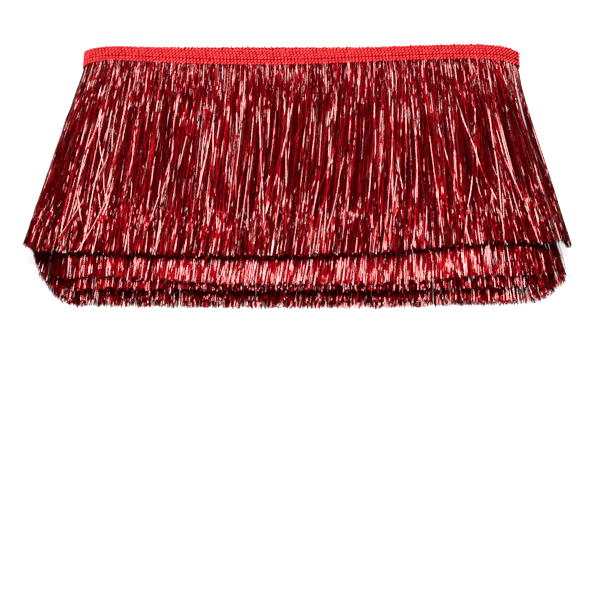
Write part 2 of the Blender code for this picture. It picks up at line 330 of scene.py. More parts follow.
def mesh_of(name, points, faces, tints, cells=None, rings=0):
    """A mesh from arrays of points and of equal-sided faces, with a tint for each point.

    cells are the faces' corners on the bake map. If the points are
    slivers with this many rings of three points, their long edges and ends stay sharp.
    """
    mesh = bpy.data.meshes.new(name)
    mesh.vertices.add(points.size // 3)
    mesh.vertices.foreach_set("co", points.astype(np.float32).ravel())
    loops = np.concatenate([group.ravel() for group in faces])
    sizes = np.concatenate([np.full(len(group), group.shape[1]) for group in faces])
    mesh.loops.add(len(loops))
    mesh.loops.foreach_set("vertex_index", loops.astype(np.int32))
    mesh.polygons.add(len(sizes))
    starts = np.concatenate([[0], np.cumsum(sizes)[:-1]])
    mesh.polygons.foreach_set("loop_start", starts.astype(np.int32))
    mesh.update(calc_edges=True)
    if rings:
        ends = np.empty(2 * len(mesh.edges), dtype=np.int32)
        mesh.edges.foreach_get("vertices", ends)
        ring = ends.reshape(-1, 2) // 3
        lengthways = ring[:, 0] != ring[:, 1]
        at_end = np.isin(ring[:, 0] % rings, (0, rings - 1))
        mesh.edges.foreach_set("use_edge_sharp", lengthways | at_end)
    if cells is None:
        cells = face_cells(faces)
    layer = mesh.uv_layers.new(name="OFBake")
    layer.data.foreach_set("uv", cells.astype(np.float32).ravel())
    tint = mesh.attributes.new("tint", "FLOAT", "POINT")
    tint.data.foreach_set("value", tints.astype(np.float32))
    return mesh


def ring_sides(corner):
    """The four-cornered faces between each ring of corners and the next."""
    after = np.roll(corner, -1, axis=-1)
    rows = [corner[..., :-1, :], after[..., :-1, :], after[..., 1:, :], corner[..., 1:, :]]
    return np.stack(rows, axis=-1).reshape(-1, 4)


def sliver_faces(count, stations):
    """The faces of closed slivers: their sides, and then their first and last ends."""
    corner = np.arange(count * stations * 3).reshape(count, stations, 3)
    return [ring_sides(corner), corner[:, 0, ::-1], corner[:, -1]]


def placed(name, data):
    """A new object in the scene."""
    made = bpy.data.objects.new(name, data)
    bpy.context.scene.collection.objects.link(made)
    return made


def dressed(name, mesh, material, nodes=(), smooth=False):
    """An object that rides on the frame and stands for the named nodes."""
    mesh.materials.append(material)
    mesh.polygons.foreach_set("use_smooth", np.full(len(mesh.polygons), smooth))
    piece = placed(name, mesh)
    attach(piece, "root")
    if nodes:
        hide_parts(*nodes)
    return piece


# Strands of film

# How a strand lies. Places along it are shares, from 0 at the tape to 1 at its cut end.
LEAN_POWER = 1.4
WAVE_POWER = 0.5
WAVE_COUNTS = (0.8, 3.2)
KINK_FULL = 0.25
DRIFT_POWER = 1.7
DRIFT_RISE = 0.4
DRIFT_FADE = 0.2
DEPTH_RATE = 1.4
DROOP_START = 0.8
DROOP_FACTORS = (0.4, 1.6)
TRIMMED_OFF = 1.0 * MM
TIP_SHARE = 0.5
FILM_WIDTHS = (0.6, 1.35)

# The loose strands: the mean and spread of their length as a share of the others', its
# limits, how many millimetres they lie above the heap, and how soon they rise to that.
LOOSE_LENGTH = (0.93, 0.12)
LOOSE_LENGTH_LIMITS = (0.45, 1.01)
LOOSE_HEIGHTS = (0.3, 2.0)
LOOSE_RATE = 3.0
LOOSE_TWIST = math.radians(16.0)

# A strand has its middle twist from MIDDLE_FROM on, and leaves it again at TIP_FROM.
MIDDLE_TWIST = math.radians(66.0)
MIDDLE_FROM = 0.35
TIP_FROM = 0.62
TIP_BLEND = 0.34
STEP_AT_ROOT = 0.3

# The patches of strands that turn together are waves along the tape and the strands.
PATCH_WAVES = 6
PATCH_PER_METRE = (60, 240)
PATCH_PER_STRAND = (5, 22)

# How much the strands differ in tint: by chance, and as painted shade that darkens
# strands lying further inside the winding.
TINT_SPREAD = 0.22
PAINTED_SHADE_BY_DEPTH = 0.12

# Where a strand's sides and its two ends lie in its own cell of the map.
CELL_COLUMNS = 3.2
CELL_MARGIN = 0.04
CAP_CORNERS = ((0.97, 0.02), (0.99, 0.02), (0.99, 0.04))


def bunch_shares(winding, first, last, bunches):
    """Each bunch's share of the strands: more where the tips fan out round a bend."""
    edges = np.linspace(first, last, bunches + 1)[:, None]
    roots = winding.points(edges, np.zeros_like(edges))[:, 0]
    tips = winding.points(edges, np.ones_like(edges))[:, 0]
    root_widths = np.linalg.norm(np.diff(roots, axis=0), axis=1)
    tip_widths = np.linalg.norm(np.diff(tips, axis=0), axis=1)
    widths = between(root_widths, tip_widths, TIP_SHARE)
    return widths / widths.sum()


def strand_paths(winding, curtain, settings, chance, loose):
    """The middle line of every strand, the way that it faces, and how far along it is."""
    count = curtain.count
    first, last = winding.at(curtain.first), winding.at(curtain.last)
    bunches = max(round((last - first) / settings.bunch_pitch), 1)
    bunch = chance.choice(bunches, count, p=bunch_shares(winding, first, last, bunches))
    shares = 1.0 - np.linspace(1.0, 0.0, curtain.segments) ** curtain.crowding
    along = np.concatenate([[-settings.root_depth / PASSES[0].reach / MM], shares])[None, :]
    grown = np.clip(along, 0.0, 1.0)

    # Where each strand is rooted, and how far it strays sideways on its way.
    root = first + (bunch + 0.5) / bunches * (last - first)
    root = root + chance.normal(0.0, curtain.spread, count) * settings.bunch_pitch
    root = np.clip(root, first, last)
    bunch_lean = chance.normal(0.0, settings.bunch_lean, bunches)[bunch]
    lean = bunch_lean + chance.normal(0.0, settings.strand_lean, count)
    if loose:
        lean = chance.normal(0.0, settings.loose_lean, count)
    wave = chance.exponential(settings.wave, count)
    turns = chance.uniform(*WAVE_COUNTS, count)
    phase = chance.uniform(0.0, 2 * math.pi, count)
    swing = np.sin(turns[:, None] * 2 * math.pi * grown + phase[:, None]) - np.sin(phase)[:, None]
    kink = chance.normal(0.0, settings.kink, (count, curtain.segments + 1))
    kink = kink * np.minimum(grown / KINK_FULL, 1.0)
    drift = winding.per_pass([heap.drift * MM for heap in HEAPS], root)
    run_share = winding.run_share(root)
    drift = drift * eased(run_share / DRIFT_RISE) * eased((1.0 - run_share) / DRIFT_FADE)
    sideways = lean[:, None] * grown**LEAN_POWER + wave[:, None] * swing * grown**WAVE_POWER + kink
    sideways = sideways + drift[:, None] * grown**DRIFT_POWER
    distance = root[:, None] + sideways

    # How long it is.
    reach = winding.per_pass([row.reach * MM for row in PASSES], root)
    trimmed = 1.0 + (chance.normal(0.0, settings.trim_spread, count) - TRIMMED_OFF) / reach
    if loose:
        trimmed = np.clip(chance.normal(*LOOSE_LENGTH, count), *LOOSE_LENGTH_LIMITS)
    along = np.where(along < 0.0, along, along * trimmed[:, None])

    # How deep it lies in the heap.
    inward = winding.per_pass([heap.inward * MM for heap in HEAPS], root)
    outward = winding.per_pass([heap.outward * MM for heap in HEAPS], root)
    layer = chance.uniform(0.0, 1.0, count)
    bunch_rise = chance.normal(0.0, settings.bunch_rise, bunches)[bunch]
    depth = between(-inward, outward, layer)[:, None] * eased(grown * DEPTH_RATE)
    depth = depth + bunch_rise[:, None] * np.sin(math.pi * grown)
    if loose:
        height = outward + chance.uniform(*LOOSE_HEIGHTS, count) * MM
        depth = height[:, None] * eased(grown * LOOSE_RATE)
    points = winding.points(distance, along)
    out = winding.outward(distance, along)
    points = points + out * depth[..., None]
    droop = winding.per_pass([heap.droop * MM for heap in HEAPS], root)
    droop = droop * chance.uniform(*DROOP_FACTORS, count)
    drooping = np.clip((grown - DROOP_START) / (1.0 - DROOP_START), 0, 1)
    points[..., 2] -= droop[:, None] * drooping**2
    points[..., 2] = np.maximum(points[..., 2], settings.film_width / 2 * FILM_WIDTHS[1])
    return points, out, distance, along, layer


def ripple(distance, along, waves):
    """A smooth field over the curtain, between about -1 and 1."""
    total = np.zeros(np.broadcast(distance, along).shape)
    for per_metre, per_strand, phase in waves:
        total += np.sin(distance * per_metre + along * per_strand + phase)
    return total / math.sqrt(len(waves))


def strand_twist(winding, distance, along, settings, chance, loose):
    """How far each strand is turned about its own length, in radians."""
    count = len(distance)
    root = distance[:, 0]
    tip_twist = np.radians(winding.per_pass([heap.twist for heap in HEAPS], root))
    if loose:
        tip_twist = np.full(count, LOOSE_TWIST)
    first = chance.normal(0.0, settings.root_twist, count)
    second = chance.normal(0.0, 1.0, count) * MIDDLE_TWIST
    third = chance.normal(0.0, 1.0, count) * tip_twist
    if loose:
        second = third
    grown = np.clip(along, 0.0, 1.0)
    to_middle = eased(grown / MIDDLE_FROM)
    to_tip = eased((grown - TIP_FROM) / TIP_BLEND)
    base = between(between(first[:, None], second[:, None], to_middle), third[:, None], to_tip)
    ranges = (PATCH_PER_METRE, PATCH_PER_STRAND, (0, 2 * math.pi))
    waves = [[chance.uniform(*limits) for limits in ranges] for _ in range(PATCH_WAVES)]
    patches = ripple(distance, along, waves) * settings.patch_twist * to_middle
    step = chance.normal(0.0, settings.step_twist, distance.shape)
    return base + patches + step * between(STEP_AT_ROOT, 1.0, to_middle)


def strand_mesh(winding, curtain, settings, chance, loose=False):
    """One piece's strands: long closed slivers with three flat sides."""
    points, out, distance, along, layer = strand_paths(winding, curtain, settings, chance, loose)
    middle = points.shape[1] // 2
    out = out * np.where(out[:, middle, 2] < 0.0, -1.0, 1.0)[:, None, None]
    twist = strand_twist(winding, distance, along, settings, chance, loose)[..., None]
    forward = unit(np.gradient(points, axis=1))
    facing = unit(out - forward * np.sum(out * forward, axis=-1, keepdims=True))
    aside = np.cross(forward, facing)
    facing, aside = (
        facing * np.cos(twist) + aside * np.sin(twist),
        aside * np.cos(twist) - facing * np.sin(twist),
    )
    count, stations = points.shape[:2]
    half = settings.film_width / 2 * chance.uniform(*FILM_WIDTHS, count)[:, None, None]
    ring = np.stack(
        [points + aside * half, points - facing * settings.film_crown, points - aside * half],
        axis=2,
    )

    lower, size = grid_cells(count, shape=0.4)
    side, station = np.meshgrid(np.arange(3), np.arange(stations - 1))
    span = np.array([[0, 0], [1, 0], [1, 1], [0, 1]])
    inside = np.stack([side, station], axis=-1)[:, :, None, :] + span
    inside = inside / np.array([CELL_COLUMNS, stations]) + CELL_MARGIN
    side_cells = lower[:, None, None, None, :] + inside[None] * size
    cap_cells = (lower[:, None, :] + np.array(CAP_CORNERS) * size).reshape(-1, 2)
    cells = np.concatenate([side_cells.reshape(-1, 2), cap_cells, cap_cells])
    # Painted shade: strands lying further inside the winding get a lower tint.
    tint = chance.normal(0.5, TINT_SPREAD, count) + PAINTED_SHADE_BY_DEPTH * (layer - 0.5)
    tints = np.repeat(np.clip(tint, 0.0, 1.0), stations * 3)
    faces = sliver_faces(count, stations)
    return mesh_of(curtain.name, ring, faces, tints, cells, rings=stations)


# The heading tape

# How much the stitches differ: across the tape as a share of their unevenness, in slant,
# in size and in tint. CELL_RADIUS is a stitch's half size in its cell of the map.
UNEVEN_ACROSS = 0.5
SLANT_SPREAD = 0.06
STITCH_SCALES = (0.93, 1.05)
STITCH_TINT_SPREAD = 0.12
CELL_RADIUS = 0.22

# The band under the stitches. STITCH_PROUD is the share of a stitch that stands out of
# it, and ROW_EDGE how far the groove lies behind the middle of the row in front of it.
BAND_LIFT = 0.03 * MM
BAND_FRONT_EXTRA = 0.15 * MM
BAND_BACK_INSET = 0.2 * MM
GROOVE_DEPTH = 0.15 * MM
STITCH_PROUD = 0.75
ROW_EDGE = 0.25

# The film ends behind the tape and in its groove: the tape left free at its ends, how far
# they stray as a share of their pitch, how far ahead of the edge they start, how they
# arch, half their width, and their tint. The low tint of the ends behind the tape is
# painted shade. Lengths are in millimetres.
FilmEnds = namedtuple("FilmEnds", "margin stray ahead arch half tint")
BEHIND = FilmEnds(margin=2.0, stray=0.3, ahead=0.7, arch=-0.2, half=0.4, tint=0.15)
GROOVED = FilmEnds(margin=3.0, stray=0.4, ahead=0.55, arch=0.28, half=0.22, tint=1.0)
BEHIND_SHARE = 0.8
BEHIND_LENGTHS = (0.8, 1.4)
BEHIND_HEIGHTS = (-0.2, 0.45)
GROOVED_LENGTH = 1.1
GROOVED_DEPTH = 0.3 * MM
FILM_END_SLIDE = 0.35 * MM
FILM_END_CROWN = 0.1 * MM


def row_back(row):
    """How far behind the tape's front edge the middle of a row of stitches is."""
    settings = bpy.context.scene.trim_tape
    pitch = (TAPE_WIDTH - settings.groove_width) / ROWS
    past_groove = settings.groove_width if row >= ROWS_IN_FRONT else 0.0
    return (row + 0.5) * pitch + past_groove


# The sphere's points come in no fixed order, so they are sorted by their places, rounded
# to this many digits.
SORTED_DIGITS = 5


def stitch_form(rings):
    """The points and triangles of one rounded stitch, one unit in half length."""
    bm = bmesh.new()
    bmesh.ops.create_uvsphere(bm, u_segments=rings + 3, v_segments=rings, radius=1.0)
    bmesh.ops.triangulate(bm, faces=bm.faces)
    points = np.array([vertex.co for vertex in bm.verts])
    faces = np.array([[vertex.index for vertex in face.verts] for face in bm.faces])
    bm.free()
    order = np.lexsort(points.round(SORTED_DIGITS).T)
    faces = np.argsort(order)[faces]
    start = faces.argmin(axis=1)[:, None]
    faces = np.take_along_axis(faces, (start + np.arange(3)) % 3, axis=1)
    return points[order], faces[np.lexsort(faces.T[::-1])]


def stitch_mesh(winding, stitched, settings, chance):
    """Rows of slanting stitches over one stretch of the tape."""
    first, last = winding.at(stitched.first), winding.at(stitched.last)
    form, triangles = stitch_form(stitched.rings)
    slant = settings.slant
    places = []
    for row in range(stitched.first_row, ROWS):
        phase = -row_back(row) / math.tan(slant) % settings.stitch_pitch
        distance = np.arange(first + phase, last, settings.stitch_pitch)
        places.append(np.stack([distance, np.full(len(distance), float(row))], axis=-1))
    places = np.concatenate(places)
    distance = places[:, 0] + chance.normal(0.0, settings.unevenness, len(places))
    back = TAPE_FRONT + np.array([row_back(int(row)) for row in places[:, 1]])
    back = back + chance.normal(0.0, settings.unevenness * UNEVEN_ACROSS, len(places))
    raised = np.where(distance < TAPE_END_LENGTH, TAPE_END_EXTRA, 0.0)
    height = TAPE_THICKNESS / 2 - settings.stitch_height / 2 + raised
    middle = winding.tape_points(distance, back, height)

    none = np.zeros_like(distance)
    before = winding.points(np.clip(distance - SLOPE_STEP, 0, winding.length), none)
    after = winding.points(np.clip(distance + SLOPE_STEP, 0, winding.length), none)
    tangent = unit((after - before) * (1.0, 0.0, 1.0))
    behind = np.array([0.0, 1.0, 0.0])
    out = np.cross(behind, tangent)
    out = out * np.sign(np.sum(out * winding.outward(distance, none), axis=1))[:, None]
    angle = slant + chance.normal(0.0, SLANT_SPREAD, len(places))
    lengthways = -tangent * np.cos(angle)[:, None] + behind * np.sin(angle)[:, None]
    widthways = np.cross(out, lengthways)
    scale = chance.uniform(*STITCH_SCALES, len(places))[:, None, None]
    half = np.array([settings.stitch_length, settings.stitch_width, settings.stitch_height]) / 2
    local = form[None] * half * scale
    # Painted highlight and shade: a stitch's tint rises towards its crest, so the crest is painted
    # lighter and the flanks darker.
    painted_crest_highlight = np.clip(form[:, 2], 0.0, 1.0) ** settings.painted_highlight_power
    points = (
        middle[:, None]
        + local[..., 0:1] * lengthways[:, None]
        + local[..., 1:2] * widthways[:, None]
        + local[..., 2:3] * out[:, None]
    )
    count = len(places)
    faces = triangles[None] + np.arange(count)[:, None, None] * len(form)
    lower, size = grid_cells(count, shape=1.0)
    flat = form[triangles][..., :2] * CELL_RADIUS + 0.25
    upper_side = form[triangles][..., 2].mean(axis=1) > 0
    flat[..., 0] += np.where(upper_side, 0.0, 0.5)[:, None]
    cells = lower[:, None, None, :] + flat[None] * size
    tints = painted_crest_highlight[None] + chance.normal(0.0, STITCH_TINT_SPREAD, count)[:, None]
    tints = np.clip(tints, 0.0, 1.0).ravel()
    return mesh_of(stitched.name, points, [faces.reshape(-1, 3)], tints, cells)


def band_mesh(winding, settings):
    """The tape's ground: a thin closed band along the whole winding."""
    steps = round(winding.length / settings.band_step)
    distance = np.linspace(0.0, winding.length, steps + 1)
    bottom = -TAPE_THICKNESS / 2 + BAND_LIFT
    top = TAPE_THICKNESS / 2 - settings.stitch_height * STITCH_PROUD
    groove = TAPE_FRONT + row_back(ROWS_IN_FRONT - 1) + ROW_EDGE * (TAPE_WIDTH / ROWS)
    front = TAPE_FRONT - BAND_FRONT_EXTRA
    back = TAPE_FRONT + TAPE_WIDTH - BAND_BACK_INSET
    outline = [
        (front, bottom),
        (back, bottom),
        (back, top),
        (groove + settings.groove_width * 2, top),
        (groove + settings.groove_width, top - GROOVE_DEPTH),
        (groove, top),
        (front, top),
    ]
    raised = np.where(distance <= TAPE_END_LENGTH, TAPE_END_EXTRA, 0.0)
    edges = []
    for place, height in outline:
        lifted = height + (raised if height > bottom else 0.0)
        edges.append(winding.tape_points(distance, np.full_like(distance, place), lifted))
    ring = np.stack(edges, axis=1)
    stations, corners = ring.shape[:2]
    corner = np.arange(stations * corners).reshape(stations, corners)
    faces = [ring_sides(corner), np.stack([corner[0, ::-1], corner[-1]])]
    tints = np.full(stations * corners, 0.5)
    return mesh_of("tape_band", ring, faces, tints)


def strewn(first, last, pitch, stray, chance):
    """Places at this pitch, each moved by up to this share of it."""
    places = np.arange(first, last, pitch)
    return places + chance.uniform(-stray, stray, len(places)) * pitch


def film_end_mesh(winding, settings, chance):
    """Short film ends that stick out behind the tape and show in its groove."""
    first = BEHIND.margin * MM
    behind = strewn(first, winding.length - first, settings.film_end_pitch, BEHIND.stray, chance)
    behind = behind[chance.random(len(behind)) < BEHIND_SHARE]
    first = GROOVED.margin * MM
    grooved = strewn(first, winding.at(3.0), settings.groove_film_pitch, GROOVED.stray, chance)
    distance = np.concatenate([behind, grooved])
    is_groove = np.arange(len(distance)) >= len(behind)
    count = len(distance)
    ahead, arch, half = (
        np.where(is_groove, in_groove, at_back) * MM
        for in_groove, at_back in zip(GROOVED[2:5], BEHIND[2:5])
    )
    groove = row_back(ROWS_IN_FRONT) - (TAPE_WIDTH / ROWS) / 2 - settings.groove_width / 2
    start = TAPE_FRONT + (np.where(is_groove, groove, TAPE_WIDTH) - ahead)
    length = np.where(is_groove, GROOVED_LENGTH, chance.uniform(*BEHIND_LENGTHS, count)) * MM
    at_back = chance.uniform(*BEHIND_HEIGHTS, count) * MM
    height = np.where(is_groove, TAPE_THICKNESS / 2 - GROOVED_DEPTH, at_back)
    share = np.linspace(0.0, 1.0, 3)[None, :]
    slide = chance.normal(0.0, FILM_END_SLIDE, count)[:, None] * share
    points = winding.tape_points(
        distance[:, None] + slide,
        start[:, None] + length[:, None] * share,
        height[:, None] + arch[:, None] * np.sin(math.pi * share),
    )
    out = winding.outward(distance[:, None] + slide, np.zeros_like(slide))
    forward = unit(np.gradient(points, axis=1))
    aside = unit(np.cross(forward, out))
    crown = np.cross(aside, forward) * FILM_END_CROWN
    aside = aside * half[:, None, None]
    ring = np.stack([points - aside, points + crown, points + aside], axis=2)
    tints = np.repeat(np.where(is_groove, GROOVED.tint, BEHIND.tint), 9)
    return mesh_of("tape_film_ends", ring, sliver_faces(count, 3), tints)


# Materials

GROUP_INPUTS = (
    ("Vector", "NodeSocketVector", (0.0, 0.0, 0.0)),
    ("Tint", "NodeSocketFloat", 0.5),
    ("Dark", "NodeSocketColor", (0.2, 0.0, 0.01, 1.0)),
    ("Bright", "NodeSocketColor", (0.7, 0.02, 0.04, 1.0)),
)
FILM_ROUGHNESS = (0.22, 0.42)
FILM_NOISE = (0.3, 0.7)
FILM_TINT_WEIGHT = 0.6
FILM_STREAK_WEIGHT = 0.5
YARN_NOISE_WEIGHT = 0.3
DENT_STRENGTH = 0.6
FILM_DENT = 0.1 * MM
YARN_DENT = 0.12 * MM
STITCH_GLOSS = 0.3
GROUND_GLOSS = 0.0

# Painted shade: the share of the dark colour's brightness given to the tape's ground between the
# stitches and to the film ends behind the tape.
GROUND_PAINTED_SHADES = (0.2, 0.5)
FILM_END_PAINTED_SHADE = 0.2


def set_inputs(tree, node, sources):
    """Links a node's inputs to the given sockets, or gives them values."""
    for name, source in dict(sources).items():
        if isinstance(source, bpy.types.NodeSocket):
            tree.links.new(source, node.inputs[name])
        else:
            node.inputs[name].default_value = source


def new_node(tree, kind, sources=(), **values):
    """A node with its properties set, and its inputs linked or given values."""
    node = tree.nodes.new(kind)
    for name, value in values.items():
        setattr(node, name, value)
    set_inputs(tree, node, sources)
    return node


def new_group(name, outputs):
    """A node group with the shared inputs and these outputs, and its two end nodes."""
    group = bpy.data.node_groups.new(name, "ShaderNodeTree")
    for socket_name, kind, value in GROUP_INPUTS:
        socket = group.interface.new_socket(socket_name, in_out="INPUT", socket_type=kind)
        socket.default_value = value
    for socket_name, kind in outputs:
        group.interface.new_socket(socket_name, in_out="OUTPUT", socket_type=kind)
    return group, group.nodes.new("NodeGroupInput"), group.nodes.new("NodeGroupOutput")


def stretched_noise(tree, vector, stretch, scale, detail=2.0):
    """A noise texture drawn out by these factors along each axis."""
    mapped = new_node(tree, "ShaderNodeMapping", {"Vector": vector, "Scale": stretch})
    noise = new_node(
        tree,
        "ShaderNodeTexNoise",
        {"Vector": mapped.outputs["Vector"], "Scale": scale, "Detail": detail, "Roughness": 0.55},
    )
    return noise.outputs["Fac"]


def worked_out(tree, operation, *sources):
    """The result of one step of arithmetic."""
    return new_node(tree, "ShaderNodeMath", enumerate(sources), operation=operation).outputs[0]


def shaded(tree, inner, tone):
    """The colour that lies this share of the way from Dark to Bright."""
    sources = {0: tone, 6: inner.outputs["Dark"], 7: inner.outputs["Bright"]}
    return new_node(tree, "ShaderNodeMix", sources, data_type="RGBA").outputs[2]


def film_streaks_group():
    """Streaks along a strand of film: its colour, its gloss and its fine dents."""
    kinds = {"Color": "NodeSocketColor", "Roughness": "NodeSocketFloat", "Height": "NodeSocketFloat"}
    group, inner, outer = new_group("film_streaks", kinds.items())
    vector = inner.outputs["Vector"]
    broad = stretched_noise(group, vector, (1.0, 0.22, 1.0), 110.0)
    fine = stretched_noise(group, vector, (1.0, 0.45, 1.0), 1300.0)
    tone = worked_out(group, "MULTIPLY", inner.outputs["Tint"], FILM_TINT_WEIGHT)
    tone = worked_out(group, "MULTIPLY_ADD", broad, FILM_STREAK_WEIGHT, tone)
    names = ("Value", "From Min", "From Max", "To Min", "To Max")
    gloss = new_node(
        group, "ShaderNodeMapRange", zip(names, (fine, *FILM_NOISE, *FILM_ROUGHNESS))
    )
    results = {"Color": shaded(group, inner, tone), "Roughness": gloss.outputs["Result"]}
    set_inputs(group, outer, {**results, "Height": fine})
    return group


def yarn_fibres_group():
    """Fibres in a yarn: its colour and its fuzz."""
    kinds = {"Color": "NodeSocketColor", "Height": "NodeSocketFloat"}
    group, inner, outer = new_group("yarn_fibres", kinds.items())
    vector = inner.outputs["Vector"]
    fibres = stretched_noise(group, vector, (1.0, 1.0, 1.0), 2600.0, detail=3.0)
    mottle = stretched_noise(group, vector, (1.0, 1.0, 1.0), 240.0)
    uneven = worked_out(group, "ADD", fibres, mottle)
    shift = worked_out(group, "MULTIPLY_ADD", uneven, YARN_NOISE_WEIGHT, -YARN_NOISE_WEIGHT)
    tone = worked_out(group, "ADD", inner.outputs["Tint"], shift)
    set_inputs(group, outer, {"Color": shaded(group, inner, tone), "Height": fibres})
    return group


def dressed_material(name, texture, make_texture, dark, bright, dent, values):
    """A material whose colour and dents come from a node group, made at its first use."""
    made = bpy.data.materials.get(name)
    if made:
        return made
    made = bpy.data.materials.new(name)
    made.use_nodes = True
    tree = made.node_tree
    shader = tree.nodes["Principled BSDF"]
    place = new_node(tree, "ShaderNodeTexCoord")
    tint = new_node(tree, "ShaderNodeAttribute", attribute_name="tint")
    sources = {
        "Vector": place.outputs["Object"],
        "Tint": tint.outputs["Fac"],
        "Dark": (*dark, 1.0),
        "Bright": (*bright, 1.0),
    }
    group = bpy.data.node_groups.get(texture) or make_texture()
    look = new_node(tree, "ShaderNodeGroup", sources, node_tree=group)
    sources = {"Height": look.outputs["Height"], "Strength": DENT_STRENGTH, "Distance": dent}
    bump = new_node(tree, "ShaderNodeBump", sources)
    set_inputs(tree, shader, values)
    set_inputs(tree, shader, {"Base Color": look.outputs["Color"], "Normal": bump.outputs["Normal"]})
    if "Roughness" in look.outputs:
        tree.links.new(look.outputs["Roughness"], shader.inputs["Roughness"])
    return made


def tinsel_material(name, dark, bright):
    """Red metallised film under a clear gloss."""
    values = {
        "Metallic": 0.75,
        "Specular IOR Level": 0.0,
        "Specular Tint": (1.0, 0.03, 0.05, 1.0),
        "Coat Weight": 0.5,
        "Coat Roughness": 0.05,
        "Coat IOR": 1.5,
    }
    texture = ("film_streaks", film_streaks_group)
    return dressed_material(name, *texture, dark, bright, FILM_DENT, values)


def yarn_material(name, dark, bright, gloss):
    """Matt red knitting yarn."""
    values = {"Roughness": 0.4, "Specular IOR Level": gloss}
    texture = ("yarn_fibres", yarn_fibres_group)
    return dressed_material(name, *texture, dark, bright, YARN_DENT, values)


def dimmed(shade, share):
    """The colour at this share of its brightness."""
    return tuple(share * part for part in shade)


# Settings

def length_setting(name, description, millimetres):
    """A length that the user can change."""
    return FloatProperty(
        name=name, description=description, default=millimetres * MM, unit="LENGTH"
    )


def angle_setting(name, description, degrees):
    """An angle that the user can change."""
    return FloatProperty(
        name=name, description=description, default=math.radians(degrees), subtype="ANGLE"
    )


def colour_setting(name, description, shade):
    """A colour that the user can change."""
    return FloatVectorProperty(
        name=name, description=description, default=shade, subtype="COLOR", min=0.0, max=1.0
    )


class TrimStrandSettings(bpy.types.PropertyGroup):
    """Sizes and colours of the strands of film."""

    film_width: length_setting("Film width", "Width of one strand", 0.35)
    film_crown: length_setting(
        "Film crown", "How far a strand's hidden side stands out along its middle", 0.05
    )
    bunch_pitch: length_setting(
        "Bunch pitch", "Distance along the tape from one bunch of strands to the next", 2.4
    )
    bunch_lean: length_setting("Bunch lean", "How far a bunch leans sideways at its cut ends", 0.9)
    strand_lean: length_setting(
        "Strand lean", "How far a strand strays from its bunch at its cut end", 1.5
    )
    loose_lean: length_setting("Loose lean", "How far a loose strand leans sideways at its end", 10.0)
    wave: length_setting("Wave", "Sideways wave of a strand", 0.3)
    kink: length_setting("Kink", "Small sideways kinks of a strand", 0.05)
    bunch_rise: length_setting("Bunch rise", "How far a bunch rises or sinks in the heap", 0.5)
    trim_spread: length_setting("Trim spread", "How unevenly the strands are cut", 0.75)
    root_depth: length_setting("Root depth", "How far a strand goes on inside the tape", 2.6)
    root_twist: angle_setting("Root twist", "How much strands twist where they leave the tape", 18.0)
    patch_twist: angle_setting("Patch twist", "How much patches of strands turn together", 3.0)
    step_twist: angle_setting(
        "Step twist", "How much a strand's twist changes from place to place", 4.0
    )
    dark: colour_setting("Dark film", "Colour of the darkest strands", (0.045, 0.0, 0.0006))
    bright: colour_setting("Bright film", "Colour of the brightest strands", (0.145, 0.001, 0.003))
    seed: IntProperty(name="Seed", description="Start of the random numbers", default=11)


class TrimTapeSettings(bpy.types.PropertyGroup):
    """Sizes and colours of the knitted heading tape."""

    stitch_pitch: length_setting(
        "Stitch pitch", "Distance along the tape from one stitch to the next", 2.0
    )
    stitch_length: length_setting("Stitch length", "Length of one stitch", 2.5)
    stitch_width: length_setting("Stitch width", "Width of one stitch", 1.25)
    stitch_height: length_setting("Stitch height", "Thickness of one stitch", 1.0)
    # Painted highlight: how narrow the lighter tint painted on each stitch's crest is.
    painted_highlight_power: FloatProperty(
        name="Painted highlight power",
        description="How narrow the painted highlight on a stitch's crest is",
        default=3.0,
        min=0.1,
    )
    slant: angle_setting("Slant", "Angle between a stitch and the tape's length", 46.0)
    groove_width: length_setting(
        "Groove width", "Width of the groove between the rows of stitches", 0.4
    )
    unevenness: length_setting("Unevenness", "How far a stitch strays from its place", 0.08)
    band_step: length_setting("Band step", "Length of one section of the tape's ground", 1.2)
    film_end_pitch: length_setting(
        "Film end pitch", "Distance between the film ends that show behind the tape", 2.6
    )
    groove_film_pitch: length_setting(
        "Groove film pitch", "Distance between the bits of film that show in the groove", 7.5
    )
    # Painted shade and highlight: besides the fibres, the dark colour is painted on the stitches'
    # flanks and, dimmed, on the tape's ground, and the bright colour on the stitches' crests.
    dark: colour_setting("Painted shade yarn", "Colour of the yarn's darker fibres and of the painted shade on the stitches' flanks", (0.42, 0.002, 0.006))
    bright: colour_setting("Painted highlight yarn", "Colour of the yarn's lighter fibres and of the painted highlight on the stitches' crests", (1.0, 0.045, 0.06))
    seed: IntProperty(name="Seed", description="Start of the random numbers", default=5)


class TrimStageSettings(bpy.types.PropertyGroup):
    """The camera's place and the studio light."""

    elevation: angle_setting("Elevation", "Height of the camera above the horizon", 60.0)
    pitch_below: angle_setting(
        "Pitch below", "How far below the bundle's middle the camera looks", 3.73
    )
    distance: FloatProperty(
        name="Distance", description="Distance of the camera", default=1.15, unit="LENGTH"
    )
    lens: FloatProperty(
        name="Lens", description="Focal length", default=119.0, subtype="DISTANCE_CAMERA"
    )
    strip_power: FloatProperty(
        name="Strip power", description="Power of the strip light", default=48.0, unit="POWER"
    )
    front_strength: FloatProperty(
        name="Front strength", description="Strength of the broad light from the front", default=1.25
    )
    world: FloatProperty(
        name="Surroundings", description="Brightness of the surroundings", default=0.025, min=0.0
    )


# Operators

def dress_curtains(curtains, loose=False):
    """Makes the strands of each piece of fringe."""
    settings = bpy.context.scene.trim_strands
    winding = Winding()
    material = tinsel_material("red_tinsel", settings.dark, settings.bright)
    for number, curtain in enumerate(curtains):
        chance = np.random.default_rng(settings.seed + 10 * int(curtain.first * 2) + number)
        mesh = strand_mesh(winding, curtain, settings, chance, loose)
        dressed(curtain.name, mesh, material, [curtain.node], smooth=True)


